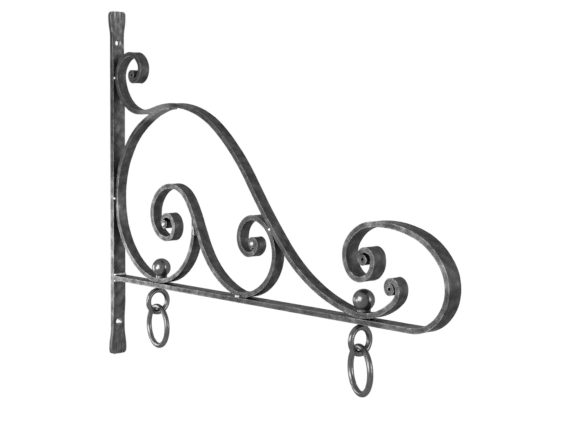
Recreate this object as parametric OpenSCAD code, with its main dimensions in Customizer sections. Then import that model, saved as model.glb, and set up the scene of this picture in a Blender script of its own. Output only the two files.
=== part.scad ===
// Forged hanging sign bracket, in millimetres.
// X points out from the wall, Y runs across the bar widths, Z points up.
// The origin is the foot of the wall bar, in the middle of its back face.

/* [Wall bar] */
// Height of the wall bar
wall_bar_h = 607; // [580:1:660]
// Width of the wall bar
wall_bar_w = 25; // [22:1:30]
// Thickness of the wall bar
wall_bar_t = 10; // [8:0.5:14]
// Width of each flared end
flare_w = 32; // [30:1:40]
// Thickness of each flared end, forged down from the bar
flare_t = 7.5; // [6:0.5:8]
// Length over which each end flares
flare_len = 46; // [38:1:50]
// Height of the top screw hole below the top end
top_hole_inset = 56; // [50:1:60]
// Height of the bottom screw hole above the bottom end
bottom_hole_inset = 57; // [54:1:62]
// Diameter of the screw holes
screw_hole_d = 8.5; // [7:0.5:10]
// Diameter of the countersink of each screw hole
countersink_d = 12.5; // [11:0.5:14]
// Depth of the two notches between the lobes of the top end
notch_depth = 1.8; // [0:0.1:2.4]
// Width of the chased lines on the flared ends
chased_line_w = 3.2; // [2:0.2:4]

/* [Arm] */
// Height of the underside of the arm above the foot of the wall bar
arm_z = 132; // [120:1:150]
// Width of the arm
arm_w = 25; // [22:1:30]
// Thickness of the arm and its end scroll
arm_t = 8; // [7:0.5:10]
// Straight length of the arm past the outer eye bolt
arm_overhang = 98; // [90:1:130]

/* [Scroll bars] */
// Width of the brace and the scrolls
scroll_w = 19; // [16:1:22]
// Thickness of the brace and the scrolls
scroll_t = 8; // [7:0.5:9]
// Radius of the crest of the brace
crest_r = 195; // [185:1:205]
// Radius of the outer loop of the S scroll
s_loop_r = 54; // [50:1:58]
// Diameter of the eye left in the middle of each rolled end
roll_eye_d = 4.6; // [3:0.1:6]
// Diameter of the round knobs forged in the middle of the S scroll's ends
knob_d = 13.5; // [12:0.5:15]
// Thickness of the drawn tip at the top of the C scroll
c_tip_t = 3; // [2:0.5:5]

/* [Eye bolts and ball nuts] */
// Diameter of the eye bolt rod
eye_rod_d = 9; // [8:0.5:10]
// Outer diameter of the eye
eye_od = 46; // [42:1:50]
// Sideways offset of each eye from its bolt, as the rod is bent round to one side
eye_shift = 7; // [0:1:9]
// Turn of the inner eye about its bolt
inner_eye_turn = -4; // [-45:1:45]
// Turn of the outer eye about its bolt
outer_eye_turn = 0; // [-45:1:45]
// Diameter of the ball nuts
ball_d = 32; // [28:1:36]
// Diameter of the collar under each ball nut
collar_d = 20; // [13:1:22]
// Height from the collar's seat to the middle of the ball
ball_rise = 17.2; // [16:0.2:19]
// Depth of the threaded hole in each ball nut
thread_depth = 22; // [18:1:24]
// Radial clearance of the eye bolts in the bars
bolt_clearance = 0.25; // [0.1:0.05:0.5]

/* [Hanging rings] */
// Outer diameter of the rings
ring_od = 75; // [70:1:85]
// Diameter of the ring wire
ring_wire_d = 9; // [8:0.5:10]
// Turn of the inner ring about the vertical, seen from above
inner_ring_turn = -9; // [-22:1:22]
// Turn of the outer ring about the vertical, seen from above
outer_ring_turn = -21; // [-22:1:22]
// Clearance between each ring and the eye that carries it
ring_clearance = 0.3; // [0.2:0.05:0.6]

/* [Welds] */
// Radius of the tack welds in the corners
tack_r = 3; // [2:0.5:3.5]
// Radius of the domed tack welds on flush faces
dome_r = 4; // [3:0.5:5]
// Height of the domed tack welds
dome_h = 1.4; // [1:0.1:2]
// Leg of the fillet weld above the arm
fillet_top = 8; // [5:0.5:10]
// Leg of the fillet weld below the arm
fillet_under = 4; // [2:0.5:6]

/* [Hidden] */
$fn = 64;
through = 2;

// A bar is laid out as a smith bends it: a list of [radius, turn] bends along its middle
// line. A turn to the left is positive. Radius 0 is a straight, and its second number is
// then a length. A third number is the thickness that the bar is drawn down to by the end
// of the bend, and a fourth keeps its left (1) or right (-1) face on the plain curve.

// The pose after one bend, as [x, z, heading]
function after(pose, b) = b[0] == 0
    ? [pose[0] + b[1] * cos(pose[2]), pose[1] + b[1] * sin(pose[2]), pose[2]]
    : [pose[0] + sign(b[1]) * b[0] * (sin(pose[2] + b[1]) - sin(pose[2])),
       pose[1] - sign(b[1]) * b[0] * (cos(pose[2] + b[1]) - cos(pose[2])),
       pose[2] + b[1]];

// The pose after the first n bends of a list
function walk(pose, bends, n) = n == 0 ? pose : after(walk(pose, bends, n - 1), bends[n - 1]);

// The centre of bend number i of a list
function bend_centre(pose, bends, i) = let (p = walk(pose, bends, i), s = sign(bends[i][1]))
    [p[0] - s * bends[i][0] * sin(p[2]), p[1] + s * bends[i][0] * cos(p[2])];

// Levels that the bars share
arm_top = arm_z + arm_t;
scroll_z = arm_top + scroll_t / 2;
wall_x = wall_bar_t + scroll_t / 2;

// Brace: from its foot on the arm back to the wall bar, its top curl, and its toe
brace_rise = [[41, -8], [266, -39], [980, -7], [400, 16], [crest_r, 53], [145, -18], [71, -76],
              [29, -11]];
brace_curl = [[29, -27], [46, -49], [31, -72], [24, -10], [21, -103], [10.5, -99, 7], [6, -150, 6]];
brace_toe = [[95, 43], [22, 56], [12, 61], [10, 140, 7], [6, 150, 6]];
brace_back = concat(brace_rise, brace_curl);
brace_x = wall_x - walk([0, scroll_z, 180], brace_rise, len(brace_rise))[0];
brace_back_start = [brace_x, scroll_z, 180];
brace_wall = walk(brace_back_start, brace_rise, len(brace_rise));
rise_bend = 2;
crest_bend = 4;

// S scroll: its foot touches the arm, and its outer loop touches the long rise of the brace
s_out = [[86, 48], [65, 27], [s_loop_r, 91], [34, 99], [25, 71], [20, 90], [9, 105, 7], [7, 180, 6]];
s_back = [[31, -14], [140, -48], [820, -3], [170, 12], [55, 115], [41, 112], [23, 40], [20, 117],
          [16, 93, 7], [8, 90, 6], [5, 150, 6]];
s_loop_bend = 2;
rise_c = bend_centre(brace_back_start, brace_rise, rise_bend);
s_loop_c = bend_centre([0, scroll_z, 0], s_out, s_loop_bend);
loops_apart = brace_rise[rise_bend][0] + s_loop_r + scroll_t;
s_x = rise_c[0] - s_loop_c[0] - sqrt(pow(loops_apart, 2) - pow(rise_c[1] - s_loop_c[1], 2));
s_brace_dir = atan2(rise_c[1] - s_loop_c[1], rise_c[0] - s_x - s_loop_c[0]);
s_brace_touch = [s_x + s_loop_c[0] + (s_loop_r + scroll_t / 2) * cos(s_brace_dir),
                 s_loop_c[1] + (s_loop_r + scroll_t / 2) * sin(s_brace_dir)];

// C scroll: it touches the arm and the wall bar, runs out under the crest of the brace,
// and its lower end rises until it seats on the back of the S scroll, which leans back
// from its foot by s_lean there; a spare length past that is cut off by the S scroll
c_low = [[73, -11], [131, -55], [138, -24]];
c_x = wall_x - walk([0, scroll_z, 180], c_low, len(c_low))[0];
c_wall = walk([c_x, scroll_z, 180], c_low, len(c_low));
crest_c = bend_centre(brace_back_start, brace_rise, crest_bend);
c_under_r = crest_r - scroll_t;
c_dx = wall_x - crest_c[0];
c_dz = c_wall[1] - crest_c[1];
c_top_r = (pow(c_under_r, 2) - pow(c_dx, 2) - pow(c_dz, 2)) / (2 * (c_dx + c_under_r));
c_top_turn = atan2(-c_dz, -(c_dx + c_top_r));
c_tip_turn = 11;
c_back = concat(c_low, [[c_top_r, -abs(c_top_turn)], [c_under_r, -c_tip_turn, c_tip_t, 1]]);
c_tip_start = walk([c_x, scroll_z, 180], c_back, len(c_back) - 1);
c_out_shape = [[100, 50], [96, 41]];
s_lean = 118.4;
c_out_scale = (s_x - c_x - s_lean) / walk([0, 0, 0], c_out_shape, len(c_out_shape))[0];
c_out = [for (b = c_out_shape) [b[0] * c_out_scale, b[1]]];
c_seat_spare = 14;
seat_bends = 4;
seat_cuts = 5;
seat_step = 0.8 * scroll_t;

// Eye bolts stand where the C scroll and the foot of the brace touch the arm
inner_x = c_x;
outer_x = brace_x;
eye_r = (eye_od - eye_rod_d) / 2;
eye_z = arm_z - eye_od / 2;
seat_cut = 0.1;
seat_z = arm_top + scroll_t - seat_cut;
ball_z = seat_z + ball_rise;
end_gap = 1;
ring_r = (ring_od - ring_wire_d) / 2;
hinge_z = eye_z - eye_r + eye_rod_d / 2 + ring_clearance + ring_wire_d / 2;

// End scroll of the arm
arm_len = brace_x + arm_overhang - wall_bar_t;
end_scroll = [[65, 62], [56, 63], [96, 35], [180, 27], [62, 49], [35, 77], [26, 67], [27, 32],
              [26, 52], [13, 118], [10, 87, 7], [5.5, 160, 6]];

// What lies left and right of the middle line at the end of bend number i
function halves(bends, i, t) = i < 0 ? [t / 2, t / 2]
    : len(bends[i]) < 3 ? halves(bends, i - 1, t)
    : len(bends[i]) < 4 ? [bends[i][2] / 2, bends[i][2] / 2]
    : bends[i][3] > 0 ? [t / 2, bends[i][2] - t / 2] : [bends[i][2] - t / 2, t / 2];

// Steps that a bend is drawn in, each of at most this turn and this length
step_turn = 10;
step_len = 5;
function steps(b) = b[0] == 0 ? 1
    : ceil(max(abs(b[1]) / step_turn, abs(b[1]) * PI / 180 * b[0] / step_len));

// Points along one face of a bar, past its start; the face is 0 for left and 1 for right
function face(pose, bends, t, f) = [
    for (i = [0 : len(bends) - 1]) for (k = [1 : steps(bends[i])])
        let (u = k / steps(bends[i]),
             q = after(walk(pose, bends, i), [bends[i][0], bends[i][1] * u]),
             h = halves(bends, i - 1, t)[f] * (1 - u) + halves(bends, i, t)[f] * u,
             s = f == 0 ? 1 : -1)
        [q[0] - s * h * sin(q[2]), q[1] + s * h * cos(q[2])]
];
function reversed(list) = [for (i = [len(list) - 1 : -1 : 0]) list[i]];

// A bar that runs both ways from where it touches the arm, at x: out along one list of
// bends and back along the other
module bent_bar(x, z, out, back, w, t) {
    rotate([90, 0, 0]) linear_extrude(w, center = true) polygon(concat(
        [[x, z + t / 2]], face([x, z, 0], out, t, 0), reversed(face([x, z, 0], out, t, 1)),
        [[x, z - t / 2]], face([x, z, 180], back, t, 0), reversed(face([x, z, 180], back, t, 1))
    ));
}

// Where a rolled end closes: the centre of its last bend, and the diameter of the core
// that fills it, which stays inside the bar's outer face
roll_skin = 1;
function roll_centre(pose, bends) = bend_centre(pose, bends, len(bends) - 1);
function roll_d(bends) = let (b = bends[len(bends) - 1]) 2 * b[0] + b[2] - 2 * roll_skin;

// A round bar across the bracket, centred on a point of its upright plane
module cross_bar(p, d, w) {
    translate([p[0], 0, p[1]]) rotate([90, 0, 0]) cylinder(d = d, h = w, center = true);
}

// Clearance hole for an eye bolt through the arm and the scroll on it, with the scroll
// faced flat where the collar of the ball nut seats
module bolt_hole(x) {
    hole_d = eye_rod_d + 2 * bolt_clearance;
    translate([x, 0, arm_z - through]) cylinder(d = hole_d, h = arm_t + scroll_t + 4 * through);
    translate([x, 0, seat_z]) cylinder(d = collar_d + 1, h = 2 * through);
}

// One end of the wall bar, from its tip inwards, as [half width, height]: a rounded
// corner, a short straight side and then a soft taper into the bar
corner_r = 7;
straight_side = 6;
taper_start = corner_r + straight_side;
taper_steps = 8;
taper_depth = (flare_w - wall_bar_w) / 2;
function half_end() = concat(
    [for (a = [90 : -15 : 0])
        [flare_w / 2 - corner_r * (1 - cos(a)), corner_r * (1 - sin(a))]],
    [for (i = [0 : taper_steps]) let (u = i / taper_steps)
        [flare_w / 2 - taper_depth * (1 - cos(180 * u)) / 2,
         taper_start + (flare_len - taper_start) * u]]
);

// Front outline of the wall bar
module wall_outline() {
    lower = half_end();
    upper = reversed([for (p = lower) [p[0], wall_bar_h - p[1]]]);
    right = concat(lower, upper);
    left = reversed([for (p = right) [-p[0], p[1]]]);
    polygon(concat(right, left));
}

// Side profile of the wall bar: full thickness in the middle, forged down at the ends
hole_land = 8;
thin_len = bottom_hole_inset + hole_land;
ramp_len = 28;
module wall_profile() {
    polygon([
        [0, 0], [flare_t, 0], [flare_t, thin_len], [wall_bar_t, thin_len + ramp_len],
        [wall_bar_t, wall_bar_h - thin_len - ramp_len], [flare_t, wall_bar_h - thin_len],
        [flare_t, wall_bar_h], [0, wall_bar_h]
    ]);
}

// Chased lines on one flared end, leaning in and out of the face towards the screw hole
line_len = 40;
line_lean = 2;
line_rise = 1.6;
module chased_lines() {
    for (side = [-1, 1])
        translate([flare_t, side * flare_w / 6, -through])
            rotate([side * line_lean, line_rise, 0])
                cylinder(d = chased_line_w, h = line_len);
}

// Notches through the tip of the top end, where its chased lines begin
notch_d = 5;
module tip_notches() {
    for (side = [-1, 1])
        translate([-through, side * flare_w / 6, notch_depth - notch_d / 2])
            rotate([0, 90, 0]) cylinder(d = notch_d, h = wall_bar_t + 2 * through);
}

// Screw hole through a flared end, countersunk from the front
countersink_depth = 2;
module screw_hole(z) {
    translate([0, 0, z]) rotate([0, 90, 0]) {
        translate([0, 0, -through]) cylinder(d = screw_hole_d, h = wall_bar_t + 2 * through);
        translate([0, 0, flare_t - countersink_depth])
            cylinder(d1 = screw_hole_d, d2 = countersink_d, h = countersink_depth);
        translate([0, 0, flare_t]) cylinder(d = countersink_d, h = through);
    }
}

module wall_bar() {
    color([0.23, 0.23, 0.24]) difference() {
        intersection() {
            rotate([90, 0, 90]) linear_extrude(wall_bar_t) wall_outline();
            rotate([90, 0, 0]) translate([0, 0, -flare_w]) linear_extrude(2 * flare_w) wall_profile();
        }
        screw_hole(bottom_hole_inset);
        screw_hole(wall_bar_h - top_hole_inset);
        chased_lines();
        translate([0, 0, wall_bar_h]) mirror([0, 0, 1]) {
            chased_lines();
            tip_notches();
        }
    }
}

module arm_bar() {
    start = [wall_bar_t, arm_z + arm_t / 2, 0];
    bends = concat([[0, arm_len]], end_scroll);
    roll = roll_centre(start, bends);
    color([0.3, 0.3, 0.31]) difference() {
        union() {
            rotate([90, 0, 0]) linear_extrude(arm_w, center = true) polygon(concat(
                [[wall_bar_t, arm_top]], face(start, bends, arm_t, 0),
                reversed(face(start, bends, arm_t, 1)), [[wall_bar_t, arm_z]]
            ));
            cross_bar(roll, roll_d(bends), arm_w);
        }
        cross_bar(roll, roll_eye_d, arm_w + through);
        bolt_hole(inner_x);
        bolt_hole(outer_x);
    }
}

module brace_scroll() {
    top_roll = roll_centre(brace_back_start, brace_back);
    toe_roll = roll_centre([brace_x, scroll_z, 0], brace_toe);
    color([0.24, 0.24, 0.25]) difference() {
        union() {
            bent_bar(brace_x, scroll_z, brace_toe, brace_back, scroll_w, scroll_t);
            cross_bar(top_roll, roll_d(brace_back), scroll_w);
            cross_bar(toe_roll, roll_d(brace_toe), scroll_w);
        }
        cross_bar(top_roll, roll_eye_d, scroll_w + through);
        cross_bar(toe_roll, roll_eye_d, scroll_w + through);
        bolt_hole(outer_x);
    }
}

module c_scroll() {
    color([0.25, 0.25, 0.26]) difference() {
        bent_bar(c_x, scroll_z, concat(c_out, [[0, c_seat_spare]]), c_back, scroll_w, scroll_t);
        for (k = [0 : seat_cuts - 1])
            bent_bar(s_x + k * seat_step, scroll_z, [s_out[0]],
                     [for (i = [0 : seat_bends - 1]) s_back[i]], scroll_w + through, scroll_t);
        bolt_hole(inner_x);
    }
}

module s_scroll() {
    color([0.26, 0.26, 0.27]) {
        bent_bar(s_x, scroll_z, s_out, s_back, scroll_w, scroll_t);
        cross_bar(roll_centre([s_x, scroll_z, 180], s_back), knob_d, scroll_w);
        cross_bar(roll_centre([s_x, scroll_z, 0], s_out), knob_d, scroll_w);
    }
}

module eye_bolt(x, turn) {
    neck = sqrt(pow(eye_r, 2) - pow(eye_shift, 2));
    shank = seat_z + thread_depth - end_gap - eye_z - neck;
    color([0.2, 0.2, 0.21]) translate([x, 0, eye_z]) rotate([0, 0, turn]) {
        translate([0, -eye_shift, 0])
            rotate([0, 90, 0]) rotate_extrude() translate([eye_r, 0]) circle(d = eye_rod_d);
        translate([0, 0, neck]) cylinder(d = eye_rod_d, h = shank);
    }
}
module eye_bolt_inner() { eye_bolt(inner_x, inner_eye_turn); }
module eye_bolt_outer() { eye_bolt(outer_x, outer_eye_turn); }

module ball_nut(x) {
    color([0.22, 0.22, 0.23]) translate([x, 0, 0]) difference() {
        union() {
            translate([0, 0, ball_z]) sphere(d = ball_d);
            translate([0, 0, seat_z]) cylinder(d = collar_d, h = ball_rise);
        }
        translate([0, 0, seat_z - through]) cylinder(d = eye_rod_d, h = thread_depth + through);
    }
}
module ball_nut_inner() { ball_nut(inner_x); }
module ball_nut_outer() { ball_nut(outer_x); }

module hanging_ring(x, eye_turn, turn) {
    color([0.2, 0.2, 0.21])
        translate([x + eye_shift * sin(eye_turn), -eye_shift * cos(eye_turn), hinge_z - ring_r])
            rotate([90, 0, turn]) rotate_extrude() translate([ring_r, 0]) circle(d = ring_wire_d);
}
module hanging_ring_inner() { hanging_ring(inner_x, inner_eye_turn, inner_ring_turn); }
module hanging_ring_outer() { hanging_ring(outer_x, outer_eye_turn, outer_ring_turn); }

// Tack welds, one on each side, in the corner between a scroll's side and a wider bar.
// The room is the corner that a tack fills, as [start, size] from its middle.
wall_room = [[0, 0, -tack_r], [tack_r, tack_r, 2 * tack_r]];
arm_room = [[-tack_r, 0, 0], [2 * tack_r, tack_r, tack_r]];
module corner_tacks(x, z, room) {
    for (side = [0, 1]) mirror([0, side, 0])
        intersection() {
            translate([x, -scroll_w / 2, z]) sphere(r = tack_r);
            translate([x, -scroll_w / 2 - tack_r, z] + room[0]) cube(room[1]);
        }
}

// Domed tack welds, one on each side, across two flush scrolls
module flush_tacks(p) {
    cap_r = (dome_r * dome_r + dome_h * dome_h) / (2 * dome_h);
    for (side = [0, 1]) mirror([0, side, 0])
        intersection() {
            translate([p[0], cap_r - dome_h - scroll_w / 2, p[1]]) sphere(r = cap_r, $fn = 200);
            translate([p[0] - cap_r, -scroll_w / 2 - cap_r, p[1] - cap_r])
                cube([2 * cap_r, cap_r, 2 * cap_r]);
        }
}

module weld_arm_wall() {
    w = min(arm_w, wall_bar_w);
    color([0.5, 0.5, 0.5]) translate([wall_bar_t, w / 2, 0]) rotate([90, 0, 0]) linear_extrude(w) {
        polygon([[0, arm_top], [fillet_top, arm_top], [0, arm_top + fillet_top]]);
        polygon([[0, arm_z], [0, arm_z - fillet_under], [fillet_under, arm_z]]);
    }
}
module weld_brace_wall() {
    color([0.5, 0.5, 0.5]) corner_tacks(wall_bar_t, brace_wall[1], wall_room);
}
module weld_c_wall() {
    color([0.5, 0.5, 0.5]) corner_tacks(wall_bar_t, c_wall[1], wall_room);
}
module weld_s_arm() {
    color([0.5, 0.5, 0.5]) corner_tacks(s_x, arm_top, arm_room);
}
module weld_s_brace() {
    color([0.5, 0.5, 0.5]) flush_tacks(s_brace_touch);
}
module weld_c_s() {
    tip = walk([c_x, scroll_z, 0], c_out, len(c_out));
    color([0.5, 0.5, 0.5]) flush_tacks([tip[0], tip[1]]);
}
module weld_c_brace() {
    dir = atan2(c_tip_start[1] - crest_c[1], c_tip_start[0] - crest_c[0]);
    r = c_under_r + scroll_t / 2;
    color([0.5, 0.5, 0.5]) flush_tacks([crest_c[0] + r * cos(dir), crest_c[1] + r * sin(dir)]);
}

wall_bar();
arm_bar();
brace_scroll();
c_scroll();
s_scroll();
eye_bolt_inner();
eye_bolt_outer();
ball_nut_inner();
ball_nut_outer();
hanging_ring_inner();
hanging_ring_outer();
weld_arm_wall();
weld_brace_wall();
weld_c_wall();
weld_s_arm();
weld_s_brace();
weld_c_s();
weld_c_brace();
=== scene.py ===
"""A forged wall bracket with scrollwork, two ball nuts and two hanging rings."""

import math

import bmesh
import bpy
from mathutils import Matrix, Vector


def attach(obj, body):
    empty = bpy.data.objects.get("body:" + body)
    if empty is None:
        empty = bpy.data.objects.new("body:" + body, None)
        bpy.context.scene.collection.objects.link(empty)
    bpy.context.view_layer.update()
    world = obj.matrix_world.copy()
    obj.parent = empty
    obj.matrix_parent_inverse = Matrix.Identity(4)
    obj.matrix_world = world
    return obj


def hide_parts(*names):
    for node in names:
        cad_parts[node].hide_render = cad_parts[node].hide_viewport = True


MM = 0.001

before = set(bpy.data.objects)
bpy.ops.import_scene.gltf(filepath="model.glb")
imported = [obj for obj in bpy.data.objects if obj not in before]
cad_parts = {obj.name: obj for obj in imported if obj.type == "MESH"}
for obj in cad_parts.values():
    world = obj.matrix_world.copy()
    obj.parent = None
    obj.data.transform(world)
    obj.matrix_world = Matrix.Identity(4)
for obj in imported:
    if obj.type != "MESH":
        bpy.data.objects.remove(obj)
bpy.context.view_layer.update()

# Sizes of the wall bar, in millimetres, as in the part's source
WALL_BAR_H = 607
WALL_BAR_W = 25
WALL_BAR_T = 10
FLARE_W = 32
FLARE_T = 7.5
FLARE_LEN = 46
FLARE_CORNER = 7
FLARE_EDGE = 6
THIN_LEN = 65
RAMP_LEN = 28
SCREW_HOLES = (57, 551)
SCREW_HOLE_D = 8.5
COUNTERSINK_D = 12.5
COUNTERSINK_DEEP = 2
CHASED_Y = FLARE_W / 6

# Sizes of the arm and the scrolls
ARM_Z = 132
ARM_W = 25
ARM_T = 8
ARM_TOP = ARM_Z + ARM_T
ARM_MID_Z = ARM_Z + ARM_T / 2
SCROLL_W = 19
SCROLL_T = 8
SCROLL_Z = ARM_TOP + SCROLL_T / 2
BOLT_HOLE_D = 9.5

# Middles of the rolled ends: filled, with a small eye, or a domed knob on the S scroll
ARM_ROLL_D = 14
BRACE_ROLL_D = 16
ROLL_EYE_D = 4.6
KNOB_D = 13.5
DOME_R = 5.2
DOME_FLATNESS = 0.55
DOME_SINK = 0.05

# Where the scrolls stand on the arm and touch each other
INNER_X = 134.54
OUTER_X = 612.83
S_FOOT_X = 352.0
BRACE_WALL_Z = 491.66
C_WALL_Z = 276.78
S_BRACE = (422.1, 251.04)
C_S = ((234.6, 230.0), (234.4, 233.0), (234.0, 236.0), (233.5, 239.0), (232.8, 242.0))
C_BRACE = (133.15, 430.83)

# Bends of each bar as a smith lays them out: radius and turn, left turns positive, then
# the thickness that a bend is drawn down to. Radius 0 is a straight of that length.
ARM_BENDS = [
    (0, 700.83), (65, 62), (56, 63), (96, 35), (180, 27), (62, 49), (35, 77), (26, 67),
    (27, 32), (26, 52), (13, 118), (10, 87, 7), (5.5, 160, 6),
]
BRACE_BACK = [
    (41, -8), (266, -39), (980, -7), (400, 16), (195, 53), (145, -18), (71, -76), (29, -11),
    (29, -27), (46, -49), (31, -72), (24, -10), (21, -103), (10.5, -99, 7), (6, -150, 6),
]
BRACE_TOE = [(95, 43), (22, 56), (12, 61), (10, 140, 7), (6, 150, 6)]
S_OUT = [(86, 48), (65, 27), (54, 91), (34, 99), (25, 71), (20, 90), (9, 105, 7), (7, 180, 6)]
S_BACK = [
    (31, -14), (140, -48), (820, -3), (170, 12), (55, 115), (41, 112), (23, 40), (20, 117),
    (16, 93, 7), (8, 90, 6), (5, 150, 6),
]
C_OUT = [(100, 50), (96, 41), (0, 12)]
C_BACK = [(73, -11), (131, -55), (138, -24), (154.466, -61.43)]
C_TIP = [(154.466, -15, 4.8), (187, -11, 1.2)]

# The bends of the brace that lead up to its crest, the last of them round it
BRACE_TO_CREST = BRACE_BACK[:5]


def work_on(piece):
    """Selects one piece only and makes it the active one."""
    bpy.ops.object.select_all(action="DESELECT")
    piece.select_set(True)
    bpy.context.view_layer.objects.active = piece


def finish_modifier(piece, modifier):
    work_on(piece)
    bpy.ops.object.modifier_apply(modifier=modifier.name)


def name_piece(name):
    """Names the piece just made, and puts its place into its mesh."""
    piece = bpy.context.object
    piece.name = name
    piece.data.name = name
    bpy.ops.object.transform_apply(location=True, rotation=True, scale=True)
    return piece


def take(piece, *others):
    """Joins the others into the piece."""
    work_on(piece)
    for other in others:
        other.select_set(True)
    bpy.ops.object.join()


def cut(piece, tool, how="DIFFERENCE"):
    """Cuts the piece with a tool, or fuses them, and takes the tool away."""
    step = piece.modifiers.new("cut", "BOOLEAN")
    step.operation = how
    step.solver = "EXACT"
    step.object = tool
    finish_modifier(piece, step)
    bpy.data.objects.remove(tool)


def smooth(piece, degrees=35):
    work_on(piece)
    bpy.ops.object.shade_smooth_by_angle(angle=math.radians(degrees))


def break_edges(piece, width, segments=2):
    """Takes the sharp edges off, as a file or a grinder does."""
    step = piece.modifiers.new("broken edges", "BEVEL")
    step.width = width * MM
    step.segments = segments
    step.limit_method = "ANGLE"
    step.angle_limit = math.radians(40)
    finish_modifier(piece, step)


def hammer(piece, depth, size):
    """Leaves the piece uneven by up to depth, always inwards, with marks of that size."""
    texture = bpy.data.textures.new(piece.name + " marks", "CLOUDS")
    texture.noise_scale = size * MM
    texture.noise_depth = 1
    step = piece.modifiers.new("hammer marks", "DISPLACE")
    step.texture = texture
    step.texture_coords = "LOCAL"
    step.mid_level = 1.0
    step.strength = depth * MM
    finish_modifier(piece, step)


def knead(piece, voxel, rounds):
    """Makes joined lumps one skin with soft inner corners."""
    step = piece.modifiers.new("one skin", "REMESH")
    step.mode = "VOXEL"
    step.voxel_size = voxel * MM
    finish_modifier(piece, step)
    step = piece.modifiers.new("soft corners", "SMOOTH")
    step.factor = 0.5
    step.iterations = rounds
    finish_modifier(piece, step)


# Bent bars

STEP_LEN = 12
STEP_TURN = 5
TIP_STEPS = 8


def left_of(heading):
    turn = math.radians(heading)
    return Vector((-math.sin(turn), 0, math.cos(turn)))


def ahead_of(heading):
    turn = math.radians(heading)
    return Vector((math.cos(turn), 0, math.sin(turn)))


def thin_end(piece, centre, side, factor, pivot=0.0):
    """Draws the selected end of a bar down to factor of its thickness, about the pivot."""
    mesh = bmesh.from_edit_mesh(piece.data)
    for corner in mesh.verts:
        if corner.select:
            off = (corner.co - centre).dot(side)
            corner.co += side * (pivot + (off - pivot) * factor - off)
    bmesh.update_edit_mesh(piece.data)


def bend_on(piece, place, heading, bends, thick):
    """Bends a bar on from its selected end, one bend after another."""
    for bend in bends:
        if bend[0] == 0:
            steps = max(1, round(bend[1] / STEP_LEN))
            move = ahead_of(heading) * (bend[1] * MM / steps)
            for _ in range(steps):
                bpy.ops.mesh.extrude_region_move(TRANSFORM_OT_translate={"value": move})
            place = place + ahead_of(heading) * bend[1] * MM
            continue
        radius, turn = bend[0] * MM, bend[1]
        side = math.copysign(1, turn)
        centre = place + left_of(heading) * radius * side
        arc = abs(math.radians(turn)) * bend[0]
        steps = max(2, round(abs(turn) / STEP_TURN), round(arc / STEP_LEN))
        end_thick = bend[2] if len(bend) > 2 else thick
        for step in range(steps):
            bpy.ops.mesh.spin(
                steps=1, angle=math.radians(turn / steps), center=centre, axis=(0, 1, 0)
            )
            heading += turn / steps
            place = centre - left_of(heading) * radius * side
            if end_thick != thick:
                before = thick + (end_thick - thick) * step / steps
                after = thick + (end_thick - thick) * (step + 1) / steps
                thin_end(piece, place, left_of(heading), after / before)
        thick = end_thick
    return place, heading


def draw_tip(piece, place, heading, tip):
    """Draws the end out thin while its outer face keeps to the plain curve."""
    thick = SCROLL_T
    for radius, turn, end_thick in tip:
        side = math.copysign(1, turn)
        centre = place + left_of(heading) * radius * MM * side
        for step in range(TIP_STEPS):
            bpy.ops.mesh.spin(
                steps=1, angle=math.radians(turn / TIP_STEPS), center=centre, axis=(0, 1, 0)
            )
            heading += turn / TIP_STEPS
            place = centre - left_of(heading) * radius * MM * side
            before = thick + (end_thick - thick) * step / TIP_STEPS
            after = thick + (end_thick - thick) * (step + 1) / TIP_STEPS
            thin_end(piece, place, left_of(heading), after / before, SCROLL_T / 2 * MM)
        thick = end_thick


def new_section(name, x, z, width, thick):
    """The end of a straight flat bar that points out along the arm."""
    bpy.ops.mesh.primitive_plane_add(size=1)
    section = bpy.context.object
    section.scale = (thick * MM, width * MM, 1)
    section.rotation_euler = (0, math.radians(90), 0)
    section.location = (x * MM, 0, z * MM)
    section = name_piece(name)
    bpy.ops.object.mode_set(mode="EDIT")
    bpy.ops.mesh.select_mode(type="FACE")
    bpy.ops.mesh.select_all(action="SELECT")
    return section


def select_start(piece, x):
    """Selects the face that the bar started from."""
    bpy.ops.mesh.select_all(action="DESELECT")
    mesh = bmesh.from_edit_mesh(piece.data)
    mesh.faces.ensure_lookup_table()
    for face in mesh.faces:
        upright = abs(face.normal.x) > 0.999
        if upright and abs(face.calc_center_median().x - x * MM) < 0.01 * MM:
            face.select_set(True)
    bmesh.update_edit_mesh(piece.data)


def close_bar(piece):
    """Merges the doubles of a bent bar and turns its faces outwards."""
    bpy.ops.mesh.select_all(action="SELECT")
    bpy.ops.mesh.remove_doubles(threshold=0.01 * MM)
    bpy.ops.mesh.normals_make_consistent(inside=False)
    bpy.ops.object.mode_set(mode="OBJECT")


def forge_arm():
    bar = new_section("arm_bar_forged", WALL_BAR_T, ARM_MID_Z, ARM_W, ARM_T)
    start = Vector((WALL_BAR_T, 0, ARM_MID_Z)) * MM
    bend_on(bar, start, 0, ARM_BENDS, ARM_T)
    close_bar(bar)
    return bar


def forge_scroll(name, x, out, back, tip=None):
    """A scroll bent both ways from where it stands on the arm."""
    bar = new_section(name, x, SCROLL_Z, SCROLL_W, SCROLL_T)
    start = Vector((x, 0, SCROLL_Z)) * MM
    bend_on(bar, start, 0, out, SCROLL_T)
    select_start(bar, x)
    place, heading = bend_on(bar, start, 180, back, SCROLL_T)
    if tip:
        draw_tip(bar, place, heading, tip)
    close_bar(bar)
    return bar


def roll_centre(x, z, heading, bends):
    """The middle of the last bend, in millimetres."""
    place = Vector((x, 0, z))
    for bend in bends:
        radius, turn = bend[0], bend[1]
        if radius == 0:
            place = place + ahead_of(heading) * turn
            continue
        side = math.copysign(1, turn)
        centre = place + left_of(heading) * radius * side
        heading += turn
        place = centre - left_of(heading) * radius * side
    return centre.x, centre.z


S_KNOBS = (
    roll_centre(S_FOOT_X, SCROLL_Z, 0, S_OUT),
    roll_centre(S_FOOT_X, SCROLL_Z, 180, S_BACK),
)


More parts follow.
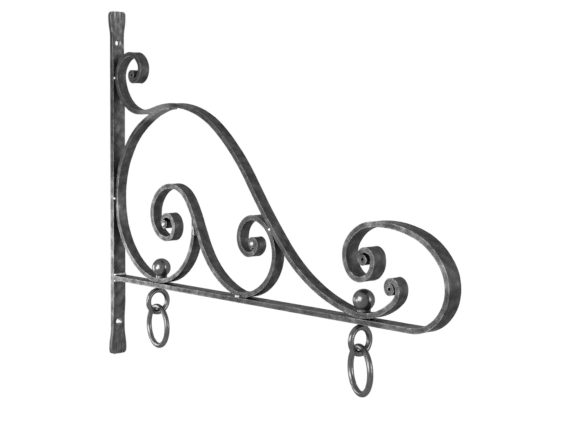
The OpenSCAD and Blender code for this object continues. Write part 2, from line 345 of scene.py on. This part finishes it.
def cross_rod(x, z, diameter, width):
    """A round rod across the bracket."""
    bpy.ops.mesh.primitive_cylinder_add(
        vertices=40, radius=diameter / 2 * MM, depth=width * MM, location=(x * MM, 0, z * MM),
        rotation=(math.radians(90), 0, 0),
    )
    return name_piece("rod")


def close_roll(piece, x, z, diameter, width, eye=0):
    """Fills the middle of a rolled end, and leaves a small eye in it."""
    cut(piece, cross_rod(x, z, diameter, width), "UNION")
    if eye:
        cut(piece, cross_rod(x, z, eye, width + 4))


def dome(x, y, z):
    """The low dome on each face of a knob."""
    bpy.ops.mesh.primitive_uv_sphere_add(
        segments=40, ring_count=20, radius=DOME_R * MM, location=(x * MM, y * MM, z * MM),
        scale=(1, DOME_FLATNESS, 1),
    )
    return name_piece("dome")


def bolt_hole(piece, x):
    bpy.ops.mesh.primitive_cylinder_add(
        vertices=48, radius=BOLT_HOLE_D / 2 * MM, depth=30 * MM,
        location=(x * MM, 0, ARM_TOP * MM),
    )
    cut(piece, name_piece("drill"))


def dress_bar(bar):
    """The worked surface that the arm and the scrolls share."""
    break_edges(bar, width=1.3, segments=3)
    hammer(bar, depth=0.7, size=12)
    smooth(bar)


# Wall bar

FLARE_STEPS = 8
PLAIN_STEPS = 36
CHASE_LEN = 46
LOWER_CHASE_R = 1.6
UPPER_CHASE_R = 3.4
NOTCH_R = 2.5
NOTCH_UP = 0.7


def end_rows():
    """Half widths of a flared end and their distances from the tip, in millimetres."""
    half = FLARE_W / 2
    rows = []
    for angle in range(90, -1, -15):
        turn = math.radians(angle)
        rows.append((
            half - FLARE_CORNER + FLARE_CORNER * math.cos(turn),
            FLARE_CORNER - FLARE_CORNER * math.sin(turn),
        ))
    begin = FLARE_CORNER + FLARE_EDGE
    for step in range(FLARE_STEPS + 1):
        share = step / FLARE_STEPS
        swell = (FLARE_W - WALL_BAR_W) / 2 * (1 - math.cos(math.pi * share)) / 2
        rows.append((half - swell, begin + (FLARE_LEN - begin) * share))
    return rows


def wall_bar_rows():
    """Half widths of the wall bar and their heights, from the lower tip to the upper one."""
    ends = end_rows()
    plain = WALL_BAR_W / 2
    ramp_end = THIN_LEN + RAMP_LEN
    gap = WALL_BAR_H - 2 * ramp_end
    rows = ends + [(plain, THIN_LEN), (plain, ramp_end)]
    rows += [(plain, ramp_end + gap * k / PLAIN_STEPS) for k in range(1, PLAIN_STEPS + 1)]
    rows += [(plain, WALL_BAR_H - THIN_LEN)]
    rows += [(half, WALL_BAR_H - up) for half, up in reversed(ends)]
    return rows


def forge_wall_bar():
    """A flat bar drawn thin towards both ends, which are flared, drilled and chased."""
    rows = wall_bar_rows()
    bpy.ops.mesh.primitive_plane_add(size=1)
    section = bpy.context.object
    section.scale = (FLARE_T * MM, 2 * rows[0][0] * MM, 1)
    section.location = (FLARE_T / 2 * MM, 0, 0)
    bar = name_piece("wall_bar_forged")
    bpy.ops.object.mode_set(mode="EDIT")
    bpy.ops.mesh.select_all(action="SELECT")
    thick = FLARE_T
    for (half, up), (next_half, next_up) in zip(rows, rows[1:]):
        bpy.ops.mesh.extrude_region_move(
            TRANSFORM_OT_translate={"value": (0, 0, (next_up - up) * MM)}
        )
        between = THIN_LEN < next_up < WALL_BAR_H - THIN_LEN
        next_thick = WALL_BAR_T if between else FLARE_T
        bpy.ops.transform.resize(
            value=(next_thick / thick, next_half / half, 1), center_override=(0, 0, 0)
        )
        thick = next_thick
    bpy.ops.mesh.select_all(action="SELECT")
    bpy.ops.mesh.normals_make_consistent(inside=False)
    bpy.ops.object.mode_set(mode="OBJECT")
    for z in SCREW_HOLES:
        screw_hole(bar, z)
    chase(bar, 0, 1, LOWER_CHASE_R)
    chase(bar, WALL_BAR_H, -1, UPPER_CHASE_R)
    notch_tip(bar)
    break_edges(bar, width=0.9)
    hammer(bar, depth=0.5, size=16)
    smooth(bar)
    return bar


def screw_hole(bar, z):
    """A screw hole and its countersink, whose cone stands 0.01 mm out of the face."""
    bpy.ops.mesh.primitive_cylinder_add(
        vertices=48, radius=SCREW_HOLE_D / 2 * MM, depth=40 * MM, location=(0, 0, z * MM),
        rotation=(0, math.radians(90), 0),
    )
    cut(bar, name_piece("drill"))
    middle = FLARE_T - (COUNTERSINK_DEEP / 2 - 0.01)
    bpy.ops.mesh.primitive_cone_add(
        vertices=48, radius1=SCREW_HOLE_D / 2 * MM, radius2=COUNTERSINK_D / 2 * MM,
        depth=COUNTERSINK_DEEP * MM, location=(middle * MM, 0, z * MM),
        rotation=(0, math.radians(90), 0),
    )
    cut(bar, name_piece("countersink"))


def chase(bar, tip_z, way, radius):
    """Two chased lines that run from the tip of a flared end and fade out."""
    for side in (-1, 1):
        bpy.ops.mesh.primitive_cone_add(
            vertices=24, radius1=radius * MM, radius2=0.2 * MM, depth=CHASE_LEN * MM,
            location=(FLARE_T * MM, side * CHASED_Y * MM, (tip_z + way * 20) * MM),
            rotation=(math.radians(0 if way > 0 else 180), 0, 0),
        )
        cut(bar, name_piece("chasing tool"))


def notch_tip(bar):
    """Two shallow notches in the upper tip, where its chased lines begin."""
    for side in (-1, 1):
        bpy.ops.mesh.primitive_cylinder_add(
            vertices=40, radius=NOTCH_R * MM, depth=40 * MM, rotation=(0, math.radians(90), 0),
            location=(0, side * CHASED_Y * MM, (WALL_BAR_H + NOTCH_UP) * MM),
        )
        cut(bar, name_piece("notching tool"))


# Eye bolts, ball nuts and rings

EYE_R = 18.5
EYE_ROD_R = 4.5
EYE_Z = ARM_Z - 23
EYE_SHIFT = 7
NECK = math.sqrt(EYE_R**2 - EYE_SHIFT**2)
SEAT_Z = ARM_TOP + SCROLL_T - 0.1
SHANK_REACH = 20
BALL_R = 16
BALL_Z = SEAT_Z + 17.2
COLLAR_R = 10
COLLAR_H = 10
RING_R = 33
RING_WIRE_R = 4.5
RING_PLAY = 0.3
HINGE_Z = EYE_Z - EYE_R + EYE_ROD_R + RING_PLAY + RING_WIRE_R
SEAM_TURN = -130
SEAM_REACH = 0.07
SEAM_WAIST = 0.09


def eye_offset(turn):
    """How far the middle of an eye stands off its bolt, in millimetres."""
    facing = math.radians(turn)
    return EYE_SHIFT * math.sin(facing), -EYE_SHIFT * math.cos(facing)


def make_eye_bolt(name, x, turn):
    """A rod with its end bent round into an eye and welded to the shank."""
    off_x, off_y = eye_offset(turn)
    bpy.ops.mesh.primitive_torus_add(
        major_radius=EYE_R * MM, minor_radius=EYE_ROD_R * MM, major_segments=72, minor_segments=24,
        location=((x + off_x) * MM, off_y * MM, EYE_Z * MM),
        rotation=(0, math.radians(90), math.radians(turn)),
    )
    eye = name_piece(name)
    low = EYE_Z + NECK
    high = SEAT_Z + SHANK_REACH
    bpy.ops.mesh.primitive_cylinder_add(
        vertices=40, radius=EYE_ROD_R * MM, depth=(high - low) * MM,
        location=(x * MM, 0, (low + high) / 2 * MM),
    )
    shank = name_piece("shank")
    bpy.ops.mesh.primitive_torus_add(
        major_radius=EYE_ROD_R * MM, minor_radius=1.3 * MM, major_segments=40, minor_segments=16,
        location=(x * MM, 0, (low + 5) * MM),
    )
    take(eye, shank, name_piece("weld at the neck"))
    knead(eye, voxel=0.55, rounds=4)
    hammer(eye, depth=0.12, size=9)
    smooth(eye, degrees=60)
    return eye


def make_ball_nut(name, x):
    """A forged ball on a short collar, tapped from below."""
    bpy.ops.mesh.primitive_uv_sphere_add(
        segments=64, ring_count=40, radius=BALL_R * MM, location=(x * MM, 0, BALL_Z * MM)
    )
    ball = name_piece(name)
    bpy.ops.mesh.primitive_cylinder_add(
        vertices=48, radius=COLLAR_R * MM, depth=COLLAR_H * MM,
        location=(x * MM, 0, (SEAT_Z + COLLAR_H / 2) * MM),
    )
    take(ball, name_piece("collar"))
    knead(ball, voxel=0.6, rounds=3)
    hammer(ball, depth=0.3, size=11)
    smooth(ball, degrees=60)
    return ball


def make_ring(name, x, eye_turn, turn):
    """A ring bent from round rod, with the welded seam a little thinner."""
    off_x, off_y = eye_offset(eye_turn)
    centre = Vector((x + off_x, off_y, HINGE_Z - RING_R)) * MM
    bpy.ops.mesh.primitive_torus_add(
        major_radius=RING_R * MM, minor_radius=RING_WIRE_R * MM, major_segments=120,
        minor_segments=28, location=centre, rotation=(math.radians(90), 0, math.radians(turn)),
    )
    ring = name_piece(name)
    work_on(ring)
    bpy.ops.object.mode_set(mode="EDIT")
    mesh = bmesh.from_edit_mesh(ring.data)
    along = Vector((math.cos(math.radians(turn)), math.sin(math.radians(turn)), 0))
    for corner in mesh.verts:
        off = corner.co - centre
        angle = math.atan2(off.z, off.dot(along))
        wire = (along * math.cos(angle) + Vector((0, 0, 1)) * math.sin(angle)) * RING_R * MM
        near = math.exp(-(((angle - math.radians(SEAM_TURN)) / SEAM_REACH) ** 2))
        corner.co = centre + wire + (off - wire) * (1 - SEAM_WAIST * near)
    bmesh.update_edit_mesh(ring.data)
    bpy.ops.object.mode_set(mode="OBJECT")
    hammer(ring, depth=0.14, size=16)
    smooth(ring, degrees=60)
    return ring


# Welds

BEAD_STEP = 2.35
CREST_SEAM_START = 4
CREST_SEAM_STEP = 0.75
CREST_SEAM_BLOBS = 20


def bead(name, centres, radius, voxel=0.45):
    """A weld laid down as a row of overlapping blobs, with its ripples left in."""
    blobs = []
    for centre in centres:
        bpy.ops.mesh.primitive_ico_sphere_add(
            subdivisions=3, radius=radius * MM, location=Vector(centre) * MM
        )
        blobs.append(name_piece("blob"))
    weld = blobs[0]
    take(weld, *blobs[1:])
    weld.name = name
    weld.data.name = name
    knead(weld, voxel, rounds=1)
    hammer(weld, depth=0.35, size=2.5)
    smooth(weld, degrees=60)
    return weld


def crest_seam():
    """Points along the seam where the C scroll's end lies under the crest of the brace."""
    x, z = roll_centre(OUTER_X, SCROLL_Z, 180, BRACE_TO_CREST)
    touch = math.atan2(C_BRACE[1] - z, C_BRACE[0] - x)
    reach = math.hypot(C_BRACE[0] - x, C_BRACE[1] - z)
    turns = [
        touch + math.radians(CREST_SEAM_START - CREST_SEAM_STEP * step)
        for step in range(CREST_SEAM_BLOBS)
    ]
    return [(x + reach * math.cos(turn), z + reach * math.sin(turn)) for turn in turns]


def make_welds():
    """Every weld by its node's name, with beads on both sides of each joint."""
    sides = (-1, 1)
    half = SCROLL_W / 2
    across = [BEAD_STEP * k for k in range(-4, 5)]
    above = [(WALL_BAR_T + 1.6, y, ARM_TOP + 1.6) for y in across]
    below = [(WALL_BAR_T + 0.8, y, ARM_Z - 0.8) for y in across]
    welds = {"weld_arm_wall": bead("weld_arm_wall_bead", above + below, radius=3.1)}
    for node, x, z in (
        ("weld_brace_wall", WALL_BAR_T + 1.4, BRACE_WALL_Z - 2.6),
        ("weld_c_wall", WALL_BAR_T + 0.6, C_WALL_Z),
    ):
        spots = [(x, side * (half + 0.3), z) for side in sides]
        welds[node] = bead(node + "_bead", spots, radius=2.8, voxel=0.35)
    foot = [
        (S_FOOT_X + along, side * (half + 0.2), ARM_TOP + 1.2)
        for side in sides for along in (-6, -3.5, -1)
    ]
    welds["weld_s_arm"] = bead("weld_s_arm_bead", foot, radius=3.2, voxel=0.35)
    for node, row, radius in (
        ("weld_s_brace", (S_BRACE,), 3.5),
        ("weld_c_s", C_S, 3.0),
        ("weld_c_brace", crest_seam(), 2.3),
    ):
        spots = [(x, side * (half - 2.2), z) for side in sides for x, z in row]
        welds[node] = bead(node + "_bead", spots, radius, voxel=0.4)
    return welds


# Finishes


def new_group(name, inputs, outputs):
    """An empty shader node group with named inputs and outputs."""
    group = bpy.data.node_groups.new(name, "ShaderNodeTree")
    for label, default in inputs:
        socket = group.interface.new_socket(label, in_out="INPUT", socket_type="NodeSocketFloat")
        socket.default_value = default
    for label in outputs:
        group.interface.new_socket(label, in_out="OUTPUT", socket_type="NodeSocketFloat")
    return group, group.nodes.new("NodeGroupInput"), group.nodes.new("NodeGroupOutput")


def object_place(tree):
    return tree.nodes.new("ShaderNodeTexCoord").outputs["Object"]


def give(tree, socket, value):
    """Sets a number on a socket, or links another node's output to it."""
    if isinstance(value, (int, float)):
        socket.default_value = value
    else:
        tree.links.new(value, socket)


def calc(tree, operation, first, second=0.0, clamp=False):
    node = tree.nodes.new("ShaderNodeMath")
    node.operation = operation
    node.use_clamp = clamp
    give(tree, node.inputs[0], first)
    give(tree, node.inputs[1], second)
    return node.outputs[0]


def noise(tree, place, scale, detail=3.0, rough=0.55):
    node = tree.nodes.new("ShaderNodeTexNoise")
    tree.links.new(place, node.inputs["Vector"])
    give(tree, node.inputs["Scale"], scale)
    node.inputs["Detail"].default_value = detail
    node.inputs["Roughness"].default_value = rough
    return node.outputs["Fac"]


def spread(tree, value, low, high):
    """Stretches what lies between low and high to the range 0 to 1."""
    node = tree.nodes.new("ShaderNodeMapRange")
    node.clamp = True
    tree.links.new(value, node.inputs["Value"])
    node.inputs["From Min"].default_value = low
    node.inputs["From Max"].default_value = high
    return node.outputs["Result"]


def hammered_group():
    """Shallow hammer facets with a fine scale skin over them."""
    group, given, result = new_group(
        "hammered_skin", [("Facet Scale", 90.0), ("Skin Scale", 420.0)], ["Height", "Tone"]
    )
    place = object_place(group)
    facets = group.nodes.new("ShaderNodeTexVoronoi")
    facets.feature = "SMOOTH_F1"
    group.links.new(place, facets.inputs["Vector"])
    group.links.new(given.outputs["Facet Scale"], facets.inputs["Scale"])
    facets.inputs["Smoothness"].default_value = 0.6
    skin = noise(group, place, given.outputs["Skin Scale"])
    marks = facets.outputs["Distance"]
    height = calc(group, "ADD", marks, calc(group, "MULTIPLY", skin, 0.16))
    group.links.new(height, result.inputs["Height"])
    broad = noise(group, place, 34.0, detail=5.0, rough=0.7)
    hollow = calc(group, "MULTIPLY", marks, -0.35)
    broad_share = calc(group, "MULTIPLY", broad, 0.65)
    tone = calc(group, "ADD", broad_share, calc(group, "MULTIPLY", skin, 0.45))
    tone = calc(group, "ADD", tone, hollow)
    group.links.new(spread(group, tone, 0.24, 0.62), result.inputs["Tone"])
    return group


def worn_edge_group():
    """A mask that is 1 where an edge has been rubbed bright and 0 on the faces."""
    group, given, result = new_group("worn_edge", [("Reach", 0.5)], ["Mask"])
    rounded = group.nodes.new("ShaderNodeBevel")
    rounded.samples = 6
    rounded.inputs["Radius"].default_value = 2.2 * MM
    plain = group.nodes.new("ShaderNodeNewGeometry").outputs["Normal"]
    dot = group.nodes.new("ShaderNodeVectorMath")
    dot.operation = "DOT_PRODUCT"
    group.links.new(rounded.outputs["Normal"], dot.inputs[0])
    group.links.new(plain, dot.inputs[1])
    sharp = calc(group, "SUBTRACT", 1.0, dot.outputs["Value"])
    patches = noise(group, object_place(group), 110.0, detail=4.0, rough=0.7)
    rubbed = spread(group, patches, 0.34, 0.62)
    mask = calc(group, "MULTIPLY", calc(group, "MULTIPLY", sharp, 9.0, clamp=True), rubbed)
    mask = calc(group, "MULTIPLY", mask, given.outputs["Reach"], clamp=True)
    group.links.new(mask, result.inputs["Mask"])
    return group


def painted_glint_group():
    """A mask for the wall bar, a painted highlight in its screw holes and along its top chased
    lines.
    """
    group, _, result = new_group("painted_glints", [], ["Mask"])
    place = object_place(group)
    split = group.nodes.new("ShaderNodeSeparateXYZ")
    group.links.new(place, split.inputs[0])
    across, up = split.outputs["Y"], split.outputs["Z"]
    off = calc(group, "SUBTRACT", calc(group, "ABSOLUTE", across), CHASED_Y * MM)
    near = spread(group, calc(group, "ABSOLUTE", off), 2.2 * MM, 0.8 * MM)
    tall = spread(group, up, (WALL_BAR_H - 42) * MM, (WALL_BAR_H - 8) * MM)
    mask = calc(group, "MULTIPLY", near, tall)
    for z in SCREW_HOLES:
        rise = calc(group, "SUBTRACT", up, z * MM)
        across_part = calc(group, "MULTIPLY", across, across)
        rise_part = calc(group, "MULTIPLY", rise, rise)
        reach = calc(group, "SQRT", calc(group, "ADD", across_part, rise_part))
        hole = spread(group, reach, (COUNTERSINK_D / 2 + 0.5) * MM, (COUNTERSINK_D / 2 - 1) * MM)
        mask = calc(group, "MAXIMUM", mask, hole)
    patchy = spread(group, noise(group, place, 140.0), 0.3, 0.55)
    group.links.new(calc(group, "MULTIPLY", mask, patchy), result.inputs["Mask"])
    return group


def ground_and_glint_group(spots):
    """A mask over spots ground bright and spots with a painted highlight: x, z, two reaches and a
    share.
    """
    group, _, result = new_group("ground_and_glint_spots", [], ["Mask"])
    split = group.nodes.new("ShaderNodeSeparateXYZ")
    group.links.new(object_place(group), split.inputs[0])
    mask = 0.0
    for x, z, reach_x, reach_z, share in spots:
        parts = []
        for label, middle, reach in (("X", x, reach_x), ("Z", z, reach_z)):
            off = calc(group, "SUBTRACT", split.outputs[label], middle * MM)
            part = calc(group, "DIVIDE", off, reach * MM)
            parts.append(calc(group, "MULTIPLY", part, part))
        spot = spread(group, calc(group, "ADD", *parts), 1.0, 0.3)
        mask = calc(group, "MAXIMUM", calc(group, "MULTIPLY", spot, share), mask)
    group.links.new(mask, result.inputs["Mask"])
    return group


HAMMERED_SKIN = hammered_group()
WORN_EDGE = worn_edge_group()
PAINTED_GLINTS = painted_glint_group()

# The crest, ground bright, and a painted highlight on both knobs of the S scroll
GROUND_AND_GLINT_SPOTS = ground_and_glint_group([
    (128, 430, 56, 20, 0.4),
    *((knob_x, knob_z, 5.5, 5.5, 1) for knob_x, knob_z in S_KNOBS),
])


def grey(value):
    return (value, value, value, 1)


def mix_colour(tree, factor, first, second):
    node = tree.nodes.new("ShaderNodeMix")
    node.data_type = "RGBA"
    tree.links.new(factor, node.inputs["Factor"])
    for label, value in (("A", first), ("B", second)):
        socket = [s for s in node.inputs if s.name == label and s.type == "RGBA"][0]
        if isinstance(value, tuple):
            socket.default_value = value
        else:
            tree.links.new(value, socket)
    return [s for s in node.outputs if s.type == "RGBA"][0]


def steel(name, dark, light, worn, rough, facet, depth, reach, spots=None, bare_and_glint=0.3):
    """Forged steel: two tones of scale, rubbed edges and hammer facets, as grey values.

    A larger facet scale makes smaller facets. Their depth is in millimetres, and reach
    says how bright the edges are rubbed. Spots is a mask over places of steel ground bright
    and places with a painted highlight, which all take one plain grey.
    """
    finish = bpy.data.materials.new(name)
    finish.use_nodes = True
    tree = finish.node_tree
    surface = tree.nodes["Principled BSDF"]
    skin = tree.nodes.new("ShaderNodeGroup")
    skin.node_tree = HAMMERED_SKIN
    skin.inputs["Facet Scale"].default_value = facet
    edge = tree.nodes.new("ShaderNodeGroup")
    edge.node_tree = WORN_EDGE
    edge.inputs["Reach"].default_value = reach
    tone = mix_colour(tree, skin.outputs["Tone"], grey(dark), grey(light))
    # Places ground bright and places with a painted highlight take one plain grey
    if spots:
        mask = tree.nodes.new("ShaderNodeGroup")
        mask.node_tree = spots
        tone = mix_colour(tree, mask.outputs["Mask"], tone, grey(bare_and_glint))
    colour = mix_colour(tree, edge.outputs["Mask"], tone, grey(worn))
    tree.links.new(colour, surface.inputs["Base Color"])
    dull = calc(tree, "ADD", calc(tree, "MULTIPLY", skin.outputs["Tone"], -0.12), rough)
    polished = calc(tree, "MULTIPLY", edge.outputs["Mask"], 0.12)
    tree.links.new(calc(tree, "SUBTRACT", dull, polished), surface.inputs["Roughness"])
    surface.inputs["Metallic"].default_value = 0.85
    surface.inputs["Specular Tint"].default_value = grey(0.45)
    bump = tree.nodes.new("ShaderNodeBump")
    bump.inputs["Strength"].default_value = 0.8
    bump.inputs["Distance"].default_value = depth * MM
    tree.links.new(skin.outputs["Height"], bump.inputs["Height"])
    tree.links.new(bump.outputs["Normal"], surface.inputs["Normal"])
    return finish


def dress(piece, finish, slot, body, *nodes):
    """Gives a piece its finish, its place on a body and the nodes that it stands for."""
    piece.data.materials.clear()
    piece.data.materials.append(finish)
    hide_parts(*nodes)
    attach(piece, body)


# The crest is ground bright, and both knobs of the S scroll get a painted highlight
bar_steel = steel(
    "forged_bar_steel", dark=0.03, light=0.09, worn=0.2, rough=0.46,
    facet=85, depth=1.0, reach=0.8, spots=GROUND_AND_GLINT_SPOTS, bare_and_glint=0.28,
)
# The wall bar gets a painted highlight in its screw holes and along its top chased lines
wall_steel = steel(
    "forged_wall_bar_steel", dark=0.03, light=0.1, worn=0.22, rough=0.46,
    facet=85, depth=1.0, reach=0.8, spots=PAINTED_GLINTS,
)
ground_steel = steel(
    "ground_weld_steel", dark=0.12, light=0.24, worn=0.3, rough=0.45,
    facet=300, depth=0.2, reach=0.4,
)
fitting_steel = steel(
    "smooth_rod_steel", dark=0.08, light=0.13, worn=0.2, rough=0.3,
    facet=120, depth=0.05, reach=0.1,
)
weld_steel = steel(
    "dressed_weld_steel", dark=0.22, light=0.5, worn=0.65, rough=0.45,
    facet=300, depth=0.3, reach=0.6,
)

# The bracket, piece by piece

wall_bar = forge_wall_bar()
dress(wall_bar, wall_steel, "forged_bars", "frame", "wall_bar")

# The arm is drilled before its end is filled, which keeps its skin closed
arm = forge_arm()
bolt_hole(arm, INNER_X)
bolt_hole(arm, OUTER_X)
arm_roll = roll_centre(WALL_BAR_T, ARM_MID_Z, 0, ARM_BENDS)
close_roll(arm, *arm_roll, ARM_ROLL_D, ARM_W, ROLL_EYE_D)
dress_bar(arm)
dress(arm, bar_steel, "forged_bars", "frame", "arm_bar")

brace = forge_scroll("brace_scroll_forged", OUTER_X, BRACE_TOE, BRACE_BACK)
for start, bends in ((0, BRACE_TOE), (180, BRACE_BACK)):
    brace_roll = roll_centre(OUTER_X, SCROLL_Z, start, bends)
    close_roll(brace, *brace_roll, BRACE_ROLL_D, SCROLL_W, ROLL_EYE_D)
bolt_hole(brace, OUTER_X)
dress_bar(brace)
dress(brace, bar_steel, "forged_bars", "frame", "brace_scroll")

# The C scroll is cut to fit the S scroll, so both are bent before either is dressed
s_scroll = forge_scroll("s_scroll_forged", S_FOOT_X, S_OUT, S_BACK)
c_scroll = forge_scroll("c_scroll_forged", INNER_X, C_OUT, C_BACK, C_TIP)
work_on(s_scroll)
bpy.ops.object.duplicate()
cut(c_scroll, bpy.context.object)
bolt_hole(c_scroll, INNER_X)
dress_bar(c_scroll)
dress(c_scroll, bar_steel, "forged_bars", "frame", "c_scroll")

# Both knobs are filled before either is domed, and the domes stand a hair below the face,
# so that no corner of a dome lies on it. Otherwise the skin of the bar doesn't close.
for knob_x, knob_z in S_KNOBS:
    close_roll(s_scroll, knob_x, knob_z, KNOB_D, SCROLL_W)
for knob_x, knob_z in S_KNOBS:
    for side in (-1, 1):
        cut(s_scroll, dome(knob_x, side * (SCROLL_W / 2 - DOME_SINK), knob_z), "UNION")
dress_bar(s_scroll)
dress(s_scroll, bar_steel, "forged_bars", "frame", "s_scroll")

# How far each eye and each ring is turned about its bolt, in degrees
for where, x, eye_turn, ring_turn in (("inner", INNER_X, -4, -9), ("outer", OUTER_X, 0, -21)):
    eye = make_eye_bolt("eye_bolt_" + where + "_forged", x, eye_turn)
    dress(eye, fitting_steel, "bolts_and_rings", "frame", "eye_bolt_" + where)
    ball = make_ball_nut("ball_nut_" + where + "_forged", x)
    dress(ball, fitting_steel, "bolts_and_rings", "frame", "ball_nut_" + where)
    ring = make_ring("hanging_ring_" + where + "_forged", x, eye_turn, ring_turn)
    dress(ring, fitting_steel, "bolts_and_rings", "ring_" + where, "hanging_ring_" + where)

# The weld under the crest is painted as the bars are, and the one at the S scroll is ground
weld_finishes = {"weld_c_brace": bar_steel, "weld_c_s": ground_steel}
for node, weld in make_welds().items():
    dress(weld, weld_finishes.get(node, weld_steel), "welds", "frame", node)


# Floor, light and camera


def seen_directly(tree):
    """1 for rays from the camera, from gloss and through glass."""
    path = tree.nodes.new("ShaderNodeLightPath")
    seen = calc(tree, "MAXIMUM", path.outputs["Is Camera Ray"], path.outputs["Is Glossy Ray"])
    return calc(tree, "MAXIMUM", seen, path.outputs["Is Transmission Ray"])


def lay_floor():
    """A pale floor that looks plain white and still keeps a faint shadow."""
    bpy.ops.mesh.primitive_plane_add(size=60, location=(0.4, 0, -0.9))
    floor = bpy.context.object
    floor.name = "studio_floor"
    paint = bpy.data.materials.new("pale_floor")
    paint.use_nodes = True
    tree = paint.node_tree
    surface = tree.nodes["Principled BSDF"]
    surface.inputs["Base Color"].default_value = grey(0.95)
    surface.inputs["Roughness"].default_value = 0.9
    glow = tree.nodes.new("ShaderNodeEmission")
    glow.inputs["Strength"].default_value = 1.04
    both = tree.nodes.new("ShaderNodeMixShader")
    tree.links.new(calc(tree, "MULTIPLY", seen_directly(tree), 0.93), both.inputs[0])
    tree.links.new(surface.outputs[0], both.inputs[1])
    tree.links.new(glow.outputs[0], both.inputs[2])
    tree.links.new(both.outputs[0], tree.nodes["Material Output"].inputs["Surface"])
    floor.data.materials.append(paint)


def light_studio():
    """A white sky, dimmer as a light than it looks."""
    world = bpy.data.worlds.new("white_studio")
    bpy.context.scene.world = world
    world.use_nodes = True
    tree = world.node_tree
    sky = tree.nodes["Background"]
    sky.inputs["Color"].default_value = grey(1)
    share = calc(tree, "MULTIPLY", seen_directly(tree), 0.45)
    tree.links.new(calc(tree, "ADD", share, 0.55), sky.inputs["Strength"])


def add_lamp(name, place, target, size, power):
    data = bpy.data.lights.new(name, "AREA")
    data.shape = "SQUARE"
    data.size = size
    data.energy = power
    lamp = bpy.data.objects.new(name, data)
    bpy.context.collection.objects.link(lamp)
    lamp.location = place
    aim = Vector(target) - Vector(place)
    lamp.rotation_euler = aim.to_track_quat("-Z", "Y").to_euler()


def place_camera():
    """The photograph's view: 48 degrees round from the side, nearly level."""
    data = bpy.data.cameras.new("photo_camera")
    camera = bpy.data.objects.new("photo_camera", data)
    bpy.context.collection.objects.link(camera)
    camera.location = (1.796, -1.217, 0.4274)
    camera.rotation_euler = (math.radians(90 - 1.3), 0, math.radians(48))
    data.sensor_width = 36
    data.lens = 76.98
    data.shift_x = -0.0009
    data.shift_y = -0.1272
    bpy.context.scene.camera = camera


lay_floor()
light_studio()
add_lamp("front", (0.5, -2.3, 0.8), (0.4, 0, 0.25), size=1.5, power=60)
add_lamp("right", (2.7, 0.6, 0.6), (0.4, 0, 0.25), size=1.2, power=34)
add_lamp("low_left", (-0.24, -0.2, 0.14), (0.05, 0, 0.136), size=0.28, power=2)
add_lamp("near_left", (0.12, -0.78, 0.14), (0.77, 0, 0.25), size=0.3, power=2.3)
place_camera()
bpy.context.scene.view_settings.view_transform = "Standard"
